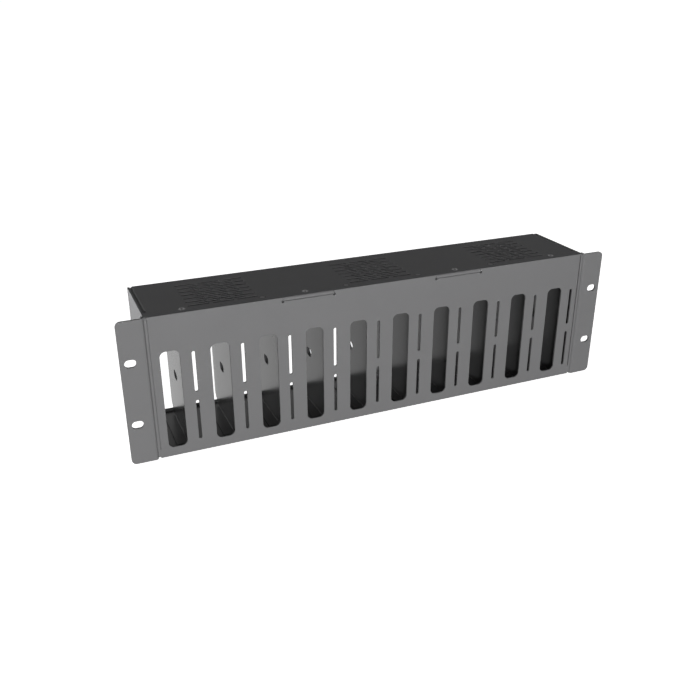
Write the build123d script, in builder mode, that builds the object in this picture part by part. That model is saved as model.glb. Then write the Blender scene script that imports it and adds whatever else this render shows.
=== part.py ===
from build123d import *
import os

# Rack frame: a shallow three-unit chassis front that takes ten slim modules from behind.
# X runs left to right, Y runs from the front face to the open back, Z is up.
# All sizes are millimetres. The origin is the middle of the overall footprint, on the underside.

# Overall sizes
body_width = 436.0
ear_width = 23.3
overall_height = 132.5
body_depth = 82.0
ear_proud = 1.5

# Sheet thicknesses and bends
sheet = 1.5
wall_sheet = 2.0
ear_sheet = 2.0
bend_radius = 1.8
cover_bend_radius = 2.5
ear_bend_radius = 2.5
relief_gap = 0.5
butt_gap = 0.1

# Front openings
bay_count = 10
side_room = 2.4
first_slot_inset = 18.0
slot_width = 16.8
slot_height = 91.5
slot_corner = 5.0
slot_mid_z = 54.2
airflow_offset = 20.0
airflow_width = 3.0
airflow_length = 38.0
airflow_corner = 0.9
airflow_spread = 46.4

# Notches in the top edge of the panel and the cover tabs that drop into them
tab_x = 75.2
notch_width = 48.0
notch_depth = 3.5
relief_diameter = 2.6
tab_side_gap = 0.3
tab_end_gap = 0.45

# Folded edges
panel_return = 12.0
return_bottom_z = 9.0
side_flange = 12.0
flange_start = 13.0
rear_lip = 4.0
floor_front_flange = 7.0
lip_end_gap = 2.0

# Top vents
vent_x = 148.0
vent_back = 1.6
vent_row_pitch = 4.4
vent_long_rows = 7
vent_slots_in_row = 3
vent_slot_pitch = 21.5
vent_slot_length = 18.5
vent_slot_width = 2.4

# Rail behind the top of the panel
rail_leg = 12.0
rail_run = 16.0
rail_thickness = 2.0
rail_end_gap = 3.0

# Partitions
partition_inset = 29.1
partition_front_gap = 2.0
partition_rear_gap = 0.5
partition_top_gap = 0.7
partition_chamfer = 10.0
foot_width = 10.2
foot_start = 12.0
foot_rear_room = 14.0
fixing_hole_length = 13.0
fixing_hole_height = 8.5
fixing_hole_depth = 46.3
fixing_hole_z = 55.0
collar_depth = 2.0
collar_wall = 1.2

# Ears
ear_corner = 4.5
ear_leg = 36.0
ear_leg_chamfer = 30.0
ear_slot_length = 10.0
ear_slot_width = 7.0
ear_slot_spacing_x = 465.1
ear_slot_spacing_z = 57.15
wall_corner = 3.0

# Screws
thread = 3.0
thread_gap = 0.1
cover_screw_depth = 8.5
cover_screw_xs = (75.5, 185.0)
cover_head = 5.5
cover_head_recess = 0.1
cover_screw_tip_gap = 0.2
pan_head = 6.0
pan_head_height = 1.8
pan_tail = 1.0
recess_width = 0.9
recess_length = 3.0
recess_depth = 0.9
ear_screw_depth = 24.0
ear_screw_pitch = 52.0
wall_screw_depth = 52.0
wall_screw_z = 6.5

# Positions worked out from the sizes above
overall_width = body_width + 2 * ear_width
overall_depth = body_depth + ear_proud
ear_face_y = -overall_depth / 2
front_y = ear_face_y + ear_proud
rear_y = overall_depth / 2
inside_front_y = front_y + sheet
wall_outer_x = body_width / 2
wall_inner_x = wall_outer_x - wall_sheet
cover_under_z = overall_height - sheet
rail_under_z = cover_under_z - rail_thickness
flange_front_y = front_y + flange_start
flange_run = cover_bend_radius + sheet
mid_z = overall_height / 2
bay_pitch = (body_width - 2 * side_room) / bay_count
bay_span = (bay_count - 1) * bay_pitch
slot_mid_x = -wall_outer_x + first_slot_inset + bay_span / 2
airflow_mid_x = slot_mid_x + airflow_offset
cover_screw_y = front_y + cover_screw_depth
clear_hole = thread + thread_gap
wall_screw_y = front_y + wall_screw_depth


def angle_section(corner, run_dir, rise_dir, run, rise, thickness, radius):
    """L section: the outside corner of the bend sits on corner, both legs lead away from it."""
    normal = Vector(run_dir).cross(Vector(rise_dir))
    plane = Plane(origin=corner, x_dir=run_dir, z_dir=normal)
    with BuildSketch(plane) as section:
        Rectangle(run, thickness, align=(Align.MIN, Align.MIN))
        Rectangle(thickness, rise, align=(Align.MIN, Align.MIN))
        outside = section.vertices().sort_by_distance((0, 0))[0]
        fillet(outside, radius)
        inside = section.vertices().sort_by_distance((thickness, thickness))[0]
        fillet(inside, max(radius - thickness, 0.2))
    return section.sketch


def save(builder, name):
    builder.part.label = name
    export_step(builder.part, "parts/" + name + ".step")


def screw_solid(seat, direction, length, head_kind):
    """One screw: seat is the middle of the outside face, direction points into the metal."""
    plane = Plane(origin=seat, z_dir=direction)
    with BuildPart(plane) as screw:
        if head_kind == "flat":
            cone = (cover_head - thread) / 2
            Cone(cover_head / 2, thread / 2, cone, align=(Align.CENTER, Align.CENTER, Align.MIN))
            Cylinder(thread / 2, length, align=(Align.CENTER, Align.CENTER, Align.MIN))
        else:
            Cylinder(pan_head / 2, pan_head_height, align=(Align.CENTER, Align.CENTER, Align.MAX))
            Cylinder(thread / 2, length, align=(Align.CENTER, Align.CENTER, Align.MIN))
        top = 0.0 if head_kind == "flat" else -pan_head_height
        with Locations((0, 0, top)):
            Box(recess_length, recess_width, 2 * recess_depth, mode=Mode.SUBTRACT)
            Box(recess_width, recess_length, 2 * recess_depth, mode=Mode.SUBTRACT)
    return screw.part


os.makedirs("parts", exist_ok=True)

# Front panel: slotted sheet with a return flange folded back at each end
panel_return_height = cover_under_z - return_bottom_z
panel_return_mid_z = return_bottom_z + panel_return_height / 2
with BuildSketch() as airflow_slot:
    Rectangle(airflow_width, airflow_length)
    chamfer(airflow_slot.vertices(), airflow_corner)
with BuildPart() as front_panel:
    with BuildSketch(Plane.XZ.offset(-front_y)):
        with Locations((0, mid_z)):
            Rectangle(2 * wall_inner_x, overall_height)
        with Locations((-wall_inner_x + bend_radius / 2, panel_return_mid_z),
                       (wall_inner_x - bend_radius / 2, panel_return_mid_z)):
            Rectangle(bend_radius, panel_return_height, mode=Mode.SUBTRACT)
        with Locations((slot_mid_x, slot_mid_z)):
            with GridLocations(bay_pitch, 1, bay_count, 1):
                RectangleRounded(slot_width, slot_height, slot_corner, mode=Mode.SUBTRACT)
        with Locations((airflow_mid_x, slot_mid_z)):
            with GridLocations(bay_pitch, airflow_spread, bay_count, 2):
                add(airflow_slot.sketch, mode=Mode.SUBTRACT)
        with Locations((-tab_x, overall_height), (tab_x, overall_height)):
            Rectangle(notch_width, 2 * notch_depth, mode=Mode.SUBTRACT)
            with Locations((-notch_width / 2, -notch_depth), (notch_width / 2, -notch_depth)):
                Circle(relief_diameter / 2, mode=Mode.SUBTRACT)
    extrude(amount=-sheet)
    for side in (-1, 1):
        corner = (side * wall_inner_x, front_y, panel_return_mid_z)
        section = angle_section(corner, (-side, 0, 0), (0, 1, 0), flange_run, panel_return, sheet,
                                bend_radius)
        extrude(section, amount=panel_return_height / 2, both=True)
save(front_panel, "front_panel")

# Top cover: vented sheet, side flanges and rear lip folded down, two tabs folded over the front
cover_front_y = inside_front_y + butt_gap
flange_mid_y = (flange_front_y + rear_y) / 2
flange_length = rear_y - flange_front_y - 2 * cover_bend_radius
flat_rear_y = rear_y - bend_radius
tab_width = notch_width - 2 * tab_side_gap
tab_drop = notch_depth - tab_end_gap
vent_y = front_y + body_depth / 2 - vent_back
with BuildPart() as top_cover:
    with BuildSketch(Plane.XY.offset(cover_under_z)):
        with Locations((0, (cover_front_y + flat_rear_y) / 2)):
            Rectangle(2 * (wall_inner_x - cover_bend_radius), flat_rear_y - cover_front_y)
        with Locations((0, (cover_front_y + flange_front_y - relief_gap) / 2)):
            Rectangle(2 * wall_inner_x, flange_front_y - relief_gap - cover_front_y)
    extrude(amount=sheet)
    for side in (-1, 1):
        corner = (side * wall_inner_x, flange_mid_y, overall_height)
        section = angle_section(corner, (-side, 0, 0), (0, 0, -1), flange_run, side_flange, sheet,
                                cover_bend_radius)
        extrude(section, amount=flange_length / 2, both=True)
        corner = (side * tab_x, front_y, overall_height)
        section = angle_section(corner, (0, 1, 0), (0, 0, -1), flange_run, tab_drop, sheet, sheet)
        extrude(section, amount=tab_width / 2, both=True)
    section = angle_section((0, rear_y, overall_height), (0, -1, 0), (0, 0, -1), flange_run, rear_lip,
                            sheet, bend_radius)
    extrude(section, amount=wall_inner_x - lip_end_gap, both=True)
    for x in cover_screw_xs:
        for side in (-1, 1):
            with Locations((side * x, cover_screw_y, overall_height)):
                CounterSinkHole(clear_hole / 2, cover_head / 2 + thread_gap, sheet)
    with BuildSketch(Plane.XY.offset(cover_under_z)):
        for x in (-vent_x, 0.0, vent_x):
            with Locations((x, vent_y)):
                for short in (0, 1):
                    with GridLocations(vent_slot_pitch, 2 * vent_row_pitch, vent_slots_in_row - short,
                                       vent_long_rows - short):
                        Rectangle(vent_slot_length, vent_slot_width)
    extrude(amount=sheet, mode=Mode.SUBTRACT)
save(top_cover, "top_cover")

# Bottom plate: plain floor with low front flange, rear lip and side flanges folded up
floor_flat_front_y = inside_front_y + bend_radius
with BuildPart() as bottom_plate:
    with BuildSketch(Plane.XY):
        with Locations((0, (floor_flat_front_y + flat_rear_y) / 2)):
            Rectangle(2 * (wall_inner_x - bend_radius), flat_rear_y - floor_flat_front_y)
    extrude(amount=sheet)
    for side in (-1, 1):
        corner = (side * wall_inner_x, flange_mid_y, 0)
        section = angle_section(corner, (-side, 0, 0), (0, 0, 1), flange_run, side_flange, sheet,
                                bend_radius)
        extrude(section, amount=flange_length / 2, both=True)
    section = angle_section((0, rear_y, 0), (0, -1, 0), (0, 0, 1), flange_run, rear_lip, sheet,
                            bend_radius)
    extrude(section, amount=wall_inner_x - lip_end_gap, both=True)
    section = angle_section((0, inside_front_y, 0), (0, 1, 0), (0, 0, 1), flange_run,
                            floor_front_flange, sheet, bend_radius)
    extrude(section, amount=wall_inner_x - lip_end_gap, both=True)
    for side in (-1, 1):
        with Locations(Location((side * wall_inner_x, wall_screw_y, wall_screw_z), (0, 90, 0))):
            Cylinder(clear_hole / 2, 4 * sheet, mode=Mode.SUBTRACT)
save(bottom_plate, "bottom_plate")

# Top rail: angle behind the panel that takes the cover screws
with BuildPart() as top_rail:
    section = angle_section((0, inside_front_y, cover_under_z), (0, 1, 0), (0, 0, -1), rail_run,
                            rail_leg, rail_thickness, rail_thickness)
    extrude(section, amount=wall_inner_x - rail_end_gap, both=True)
    for x in cover_screw_xs:
        for side in (-1, 1):
            with Locations((side * x, cover_screw_y, cover_under_z)):
                Hole(clear_hole / 2, rail_thickness)
save(top_rail, "top_rail")

# Side walls: flat plates whose front edges show beside the panel
ear_screw_y = front_y + ear_screw_depth
for side, wall_name in ((-1, "wall_left"), (1, "wall_right")):
    with BuildPart() as wall:
        with BuildSketch(Plane.YZ.offset(side * (wall_inner_x + wall_sheet / 2))):
            with Locations(((front_y + rear_y) / 2, mid_z)):
                RectangleRounded(body_depth, overall_height, wall_corner)
            with Locations((ear_screw_y, mid_z)):
                with GridLocations(1, ear_screw_pitch, 1, 2):
                    Circle(clear_hole / 2, mode=Mode.SUBTRACT)
            with Locations((wall_screw_y, wall_screw_z)):
                Circle(clear_hole / 2, mode=Mode.SUBTRACT)
        extrude(amount=wall_sheet / 2, both=True)
    save(wall, wall_name)

# Ears: slotted angle brackets that stand just proud of the panel
for side, ear_name in ((-1, "ear_left"), (1, "ear_right")):
    with BuildPart() as ear:
        section = angle_section((side * wall_outer_x, ear_face_y, mid_z), (side, 0, 0), (0, 1, 0), ear_width,
                                ear_leg, ear_sheet, ear_bend_radius)
        extrude(section, amount=overall_height / 2, both=True)
        tips = ear.edges().filter_by(Axis.Y).filter_by_position(
            Axis.X, side * overall_width / 2 - 0.1, side * overall_width / 2 + 0.1)
        fillet(tips, ear_corner)
        leg_ends = ear.edges().filter_by(Axis.X).filter_by_position(
            Axis.Y, ear_face_y + ear_leg - 0.1, ear_face_y + ear_leg + 0.1)
        chamfer(leg_ends, ear_leg_chamfer)
        with BuildSketch(Plane.XZ.offset(-ear_face_y)):
            with Locations((side * ear_slot_spacing_x / 2, mid_z)):
                with GridLocations(1, ear_slot_spacing_z, 1, 2):
                    SlotOverall(ear_slot_length, ear_slot_width)
        extrude(amount=-2 * ear_sheet, mode=Mode.SUBTRACT)
        with Locations(Location((side * wall_outer_x, ear_screw_y, mid_z), (0, 90, 0))):
            with GridLocations(ear_screw_pitch, 1, 2, 1):
                Cylinder(clear_hole / 2, 4 * ear_sheet, mode=Mode.SUBTRACT)
    save(ear, ear_name)

# Partitions: upright sheets with a foot folded to the left and a collar pressed round the fixing hole
partition_top_z = rail_under_z - partition_top_gap
partition_front_y = inside_front_y + partition_front_gap
partition_rear_y = rear_y - partition_rear_gap
foot_length = body_depth - foot_start - foot_rear_room
foot_mid_y = front_y + foot_start + foot_length / 2
hole_y = front_y + fixing_hole_depth
with BuildPart() as partition_blank:
    with BuildSketch(Plane.YZ):
        with BuildLine():
            Polyline((partition_front_y, sheet + bend_radius),
                     (partition_front_y, partition_top_z),
                     (partition_rear_y, partition_top_z),
                     (partition_rear_y, sheet + partition_chamfer),
                     (partition_rear_y - partition_chamfer + bend_radius, sheet + bend_radius),
                     close=True)
        make_face()
    extrude(amount=sheet)
    section = angle_section((sheet, foot_mid_y, sheet), (-1, 0, 0), (0, 0, 1), foot_width + sheet,
                            2 * bend_radius, sheet, bend_radius)
    extrude(section, amount=foot_length / 2, both=True)
    with BuildSketch(Plane.YZ.offset(sheet)):
        with Locations((hole_y, fixing_hole_z)):
            SlotOverall(fixing_hole_length + 2 * collar_wall, fixing_hole_height + 2 * collar_wall)
    extrude(amount=collar_depth)
    with BuildSketch(Plane.YZ):
        with Locations((hole_y, fixing_hole_z)):
            SlotOverall(fixing_hole_length, fixing_hole_height)
    extrude(amount=sheet + collar_depth, mode=Mode.SUBTRACT)
for index in range(bay_count):
    with BuildPart() as partition:
        with Locations((-wall_outer_x + partition_inset + index * bay_pitch, 0, 0)):
            add(partition_blank.part)
    save(partition, "partition_" + str(index + 1).zfill(2))

# Screws: each group is a set of separate solids
cover_screws = []
for x in cover_screw_xs:
    for side in (-1, 1):
        seat = (side * x, cover_screw_y, overall_height - cover_head_recess)
        length = overall_height - cover_head_recess - rail_under_z - cover_screw_tip_gap
        cover_screws.append(screw_solid(seat, (0, 0, -1), length, "flat"))
with BuildPart() as cover_screw_group:
    add(cover_screws)
save(cover_screw_group, "cover_screws")

for side, side_name in ((-1, "left"), (1, "right")):
    ear_screws = []
    for step in (-1, 1):
        seat = (side * (wall_outer_x + ear_sheet), ear_screw_y, mid_z + step * ear_screw_pitch / 2)
        ear_screws.append(screw_solid(seat, (-side, 0, 0), ear_sheet + wall_sheet + pan_tail, "pan"))
    with BuildPart() as ear_screw_group:
        add(ear_screws)
    save(ear_screw_group, "ear_screws_" + side_name)

    seat = (side * wall_outer_x, wall_screw_y, wall_screw_z)
    with BuildPart() as wall_screw:
        add(screw_solid(seat, (-side, 0, 0), wall_sheet + sheet + pan_tail, "pan"))
    save(wall_screw, "wall_screws_" + side_name)
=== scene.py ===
import math

import bpy
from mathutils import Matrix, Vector

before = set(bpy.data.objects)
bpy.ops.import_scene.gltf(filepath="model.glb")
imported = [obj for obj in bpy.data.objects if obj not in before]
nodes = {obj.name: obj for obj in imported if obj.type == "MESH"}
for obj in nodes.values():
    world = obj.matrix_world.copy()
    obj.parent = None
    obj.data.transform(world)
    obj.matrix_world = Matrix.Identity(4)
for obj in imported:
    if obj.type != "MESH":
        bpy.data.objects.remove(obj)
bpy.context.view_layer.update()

MM = 0.001

# Camera: fitted to the photograph
CAMERA_PLACE = Vector((-303.6, -663.0, 377.7)) * MM
CAMERA_DOWN = math.radians(24.28)
CAMERA_YAW = math.radians(23.24)
FOCAL_PIXELS = 808.4
IMAGE_PIXELS = 700
SENSOR_MM = 36.0

# Cover screw marks, painted: at MARK_MID_X less and plus MARK_STEP_X, on both sides; a lighter head as
# painted sheen inside a dark rim as painted shade of the gap around the head
MARK_MID_X = 75.6 * MM
MARK_STEP_X = 39.3 * MM
MARK_Y = -31.75 * MM
MARK_HEAD_EDGE = (2.4 * MM, 2.6 * MM)
MARK_RIM_EDGE = (2.8 * MM, 3.0 * MM)
# Painted sheen on the mark's head and painted shade in the rim around it
MARK_HEAD_SHEEN_COLOUR = (0.20, 0.20, 0.20)
MARK_RIM_SHADE_COLOUR = (0.05, 0.05, 0.05)
COVER_TOP = 132.5 * MM
SKIN = 0.2 * MM

# Coats: colour, roughness and its play, specular level, grain size and grain height in mm
OUTER = ((0.14, 0.14, 0.142), 0.70, 0.06, 0.03, 0.5, 0.02)
INNER = ((0.055, 0.055, 0.056), 0.25, 0.03, 0.14, 1.2, 0.004)
TINT_PLAY = 0.04
CLOUD_SCALE = 25.0
BUMP_STRENGTH = 0.5

# Black zinc of the screws
ZINC = (0.08, 0.08, 0.08)
ZINC_ROUGHNESS = (0.32, 0.5)
ZINC_GRAIN_SCALE = 900.0

# Light: name, place, side of the square and watts of each lamp
CENTRE = (0.0, 0.0, 0.06)
LAMPS = (("left", (-2.4, 0.3, 0.1), 0.5, 125.0),
         ("front", (-0.5, -2.4, 0.15), 0.8, 97.0),
         ("right", (2.4, 0.3, 0.1), 0.5, 70.0),
         ("rear", (-1.2, 2.0, 0.8), 0.8, 4.5))
WORLD_LEVEL = 0.08
WHITE = (1.0, 1.0, 1.0, 1.0)

# Floor
FLOOR_GLOW = 0.95
FLOOR_DROP = 0.0005
REACH = 40.0


def shader(material):
    return material.node_tree.nodes["Principled BSDF"]


def new_material(name, colour, roughness, metallic=0.0, specular=0.5):
    material = bpy.data.materials.new(name)
    material.use_nodes = True
    bsdf = shader(material)
    bsdf.inputs["Base Color"].default_value = (*colour, 1.0)
    bsdf.inputs["Roughness"].default_value = roughness
    bsdf.inputs["Metallic"].default_value = metallic
    bsdf.inputs["Specular IOR Level"].default_value = specular
    return material


def dress(names, material):
    for name in names:
        mesh = nodes[name].data
        mesh.materials.clear()
        mesh.materials.append(material)


def calculate(tree, operation, first, second=0.0):
    """Math node; each operand is a number or a socket."""
    node = tree.nodes.new("ShaderNodeMath")
    node.operation = operation
    for index, operand in enumerate((first, second)):
        if isinstance(operand, (int, float)):
            node.inputs[index].default_value = operand
        else:
            tree.links.new(operand, node.inputs[index])
    return node.outputs[0]


def place_axes(tree):
    """The surface point in the part's own frame, in metres, whole and as X, Y and Z."""
    coordinate = tree.nodes.new("ShaderNodeTexCoord")
    split = tree.nodes.new("ShaderNodeSeparateXYZ")
    tree.links.new(coordinate.outputs["Object"], split.inputs[0])
    return coordinate.outputs["Object"], split.outputs


def noise(tree, place, scale, detail=3.0):
    node = tree.nodes.new("ShaderNodeTexNoise")
    node.inputs["Scale"].default_value = scale
    node.inputs["Detail"].default_value = detail
    tree.links.new(place, node.inputs["Vector"])
    return node.outputs["Fac"]


def spread_over(tree, value, low, high):
    """Map a value of 0 to 1 onto low to high."""
    node = tree.nodes.new("ShaderNodeMapRange")
    node.inputs["To Min"].default_value = low
    node.inputs["To Max"].default_value = high
    tree.links.new(value, node.inputs["Value"])
    return node.outputs["Result"]


def soft_step(tree, value, start, end):
    """One below start, zero above end, smooth in between."""
    node = tree.nodes.new("ShaderNodeMapRange")
    node.interpolation_type = "SMOOTHSTEP"
    node.inputs["From Min"].default_value = start
    node.inputs["From Max"].default_value = end
    node.inputs["To Min"].default_value = 1.0
    node.inputs["To Max"].default_value = 0.0
    tree.links.new(value, node.inputs["Value"])
    return node.outputs["Result"]


def mix_colour(tree, factor, first, second):
    node = tree.nodes.new("ShaderNodeMix")
    node.data_type = "RGBA"
    tree.links.new(factor, node.inputs["Factor"])
    for socket, colour in ((node.inputs[6], first), (node.inputs[7], second)):
        if isinstance(colour, tuple):
            socket.default_value = (*colour, 1.0)
        else:
            tree.links.new(colour, socket)
    return node.outputs[2]


def powder_coat(name, coat):
    """Painted sheet: fine grain in the relief and gloss, slow drift in the tint."""
    colour, roughness, roughness_play, specular, grain_mm, grain_height_mm = coat
    material = new_material(name, colour, roughness, specular=specular)
    tree = material.node_tree
    place, axes = place_axes(tree)
    grain = noise(tree, place, 1000.0 / grain_mm)
    cloud = noise(tree, place, CLOUD_SCALE, detail=2.0)
    darker = tuple(channel * (1.0 - TINT_PLAY) for channel in colour)
    lighter = tuple(channel * (1.0 + TINT_PLAY) for channel in colour)
    tint = mix_colour(tree, cloud, darker, lighter)
    tree.links.new(tint, shader(material).inputs["Base Color"])
    gloss = spread_over(tree, grain, roughness - roughness_play, roughness + roughness_play)
    tree.links.new(gloss, shader(material).inputs["Roughness"])
    bump = tree.nodes.new("ShaderNodeBump")
    bump.inputs["Strength"].default_value = BUMP_STRENGTH
    bump.inputs["Distance"].default_value = grain_height_mm * MM
    tree.links.new(grain, bump.inputs["Height"])
    tree.links.new(bump.outputs["Normal"], shader(material).inputs["Normal"])
    return material, tint, axes


def recolour(material, factor, tint, colour):
    """Paint a colour over the tint where the factor is one."""
    tree = material.node_tree
    painted = mix_colour(tree, factor, tint, colour)
    tree.links.new(painted, shader(material).inputs["Base Color"])
    return painted


outer_coat, _, _ = powder_coat("outer_powder_coat", OUTER)
inner_coat, _, _ = powder_coat("inner_powder_coat", INNER)

# Cover: four faint round marks seen in the photo, painted only, between the modelled screws; each is a
# lighter head as painted sheen inside a dark rim as painted shade of the gap around the head
cover_coat, tint, axes = powder_coat("cover_powder_coat", OUTER)
tree = cover_coat.node_tree
sideways = calculate(tree, "SUBTRACT", calculate(tree, "ABSOLUTE", axes["X"]), MARK_MID_X)
sideways = calculate(tree, "SUBTRACT", calculate(tree, "ABSOLUTE", sideways), MARK_STEP_X)
inward = calculate(tree, "SUBTRACT", axes["Y"], MARK_Y)
radius = calculate(tree, "SQRT", calculate(tree, "ADD", calculate(tree, "MULTIPLY", sideways, sideways),
                                           calculate(tree, "MULTIPLY", inward, inward)))
upper_face = calculate(tree, "GREATER_THAN", axes["Z"], COVER_TOP - SKIN)
# Painted screw marks: the head is painted sheen, the rim is painted shade of the gap around the head
painted_sheen_head = calculate(tree, "MULTIPLY", soft_step(tree, radius, *MARK_HEAD_EDGE), upper_face)
painted_shade_rim = calculate(tree, "MULTIPLY", soft_step(tree, radius, *MARK_RIM_EDGE), upper_face)
painted = recolour(cover_coat, painted_shade_rim, tint, MARK_RIM_SHADE_COLOUR)
recolour(cover_coat, painted_sheen_head, painted, MARK_HEAD_SHEEN_COLOUR)

black_zinc = new_material("black_zinc", ZINC, 0.4, metallic=1.0)
tree = black_zinc.node_tree
place, _ = place_axes(tree)
grain = noise(tree, place, ZINC_GRAIN_SCALE)
tree.links.new(spread_over(tree, grain, *ZINC_ROUGHNESS), shader(black_zinc).inputs["Roughness"])

partitions = [name for name in nodes if name.startswith("partition")]
dress(["front_panel", "wall_left", "wall_right", "ear_left", "ear_right"], outer_coat)
dress(["top_cover"], cover_coat)
dress(["bottom_plate", "top_rail"] + partitions, inner_coat)
dress([name for name in nodes if "screws" in name], black_zinc)


def white_seen(tree):
    """One for camera, glossy and transmission rays, zero for the rays that carry the light."""
    path = tree.nodes.new("ShaderNodeLightPath")
    seen = path.outputs["Is Camera Ray"]
    for ray in ("Is Glossy Ray", "Is Transmission Ray"):
        either = tree.nodes.new("ShaderNodeMath")
        either.operation = "MAXIMUM"
        tree.links.new(seen, either.inputs[0])
        tree.links.new(path.outputs[ray], either.inputs[1])
        seen = either.outputs[0]
    return seen


# Stage: white floor that keeps the object's shadow
floor_mesh = bpy.data.meshes.new("floor")
floor_mesh.from_pydata([(-REACH, -REACH, 0), (REACH, -REACH, 0), (REACH, REACH, 0), (-REACH, REACH, 0)],
                       [], [(0, 1, 2, 3)])
floor = bpy.data.objects.new("floor", floor_mesh)
floor.location.z = -FLOOR_DROP
bpy.context.scene.collection.objects.link(floor)
floor_paint = new_material("floor_paint", (0.9, 0.9, 0.9), 0.9, specular=0.0)
tree = floor_paint.node_tree
glow = shader(floor_paint).inputs["Emission Strength"]
shader(floor_paint).inputs["Emission Color"].default_value = WHITE
level = tree.nodes.new("ShaderNodeMath")
level.operation = "MULTIPLY"
level.inputs[1].default_value = FLOOR_GLOW
tree.links.new(white_seen(tree), level.inputs[0])
tree.links.new(level.outputs[0], glow)
floor_mesh.materials.append(floor_paint)

world = bpy.data.worlds.new("studio")
bpy.context.scene.world = world
world.use_nodes = True
tree = world.node_tree
lit = tree.nodes["Background"]
lit.inputs["Color"].default_value = WHITE
lit.inputs["Strength"].default_value = WORLD_LEVEL
white = tree.nodes.new("ShaderNodeBackground")
white.inputs["Color"].default_value = WHITE
white.inputs["Strength"].default_value = 1.0
mixer = tree.nodes.new("ShaderNodeMixShader")
tree.links.new(white_seen(tree), mixer.inputs[0])
tree.links.new(lit.outputs[0], mixer.inputs[1])
tree.links.new(white.outputs[0], mixer.inputs[2])
tree.links.new(mixer.outputs[0], tree.nodes["World Output"].inputs["Surface"])

for name, place, side, watts in LAMPS:
    data = bpy.data.lights.new(name, "AREA")
    data.shape = "SQUARE"
    data.size = side
    data.energy = watts
    lamp = bpy.data.objects.new(name, data)
    bpy.context.scene.collection.objects.link(lamp)
    lamp.location = place
    lamp.rotation_euler = (Vector(CENTRE) - Vector(place)).to_track_quat("-Z", "Y").to_euler()

camera_data = bpy.data.cameras.new("camera")
camera_data.sensor_width = SENSOR_MM
camera_data.lens = FOCAL_PIXELS / IMAGE_PIXELS * SENSOR_MM
camera = bpy.data.objects.new("camera", camera_data)
bpy.context.scene.collection.objects.link(camera)
camera.location = CAMERA_PLACE
camera.rotation_euler = (math.pi / 2 - CAMERA_DOWN, 0.0, -CAMERA_YAW)
bpy.context.scene.camera = camera

bpy.context.scene.view_settings.view_transform = "Standard"
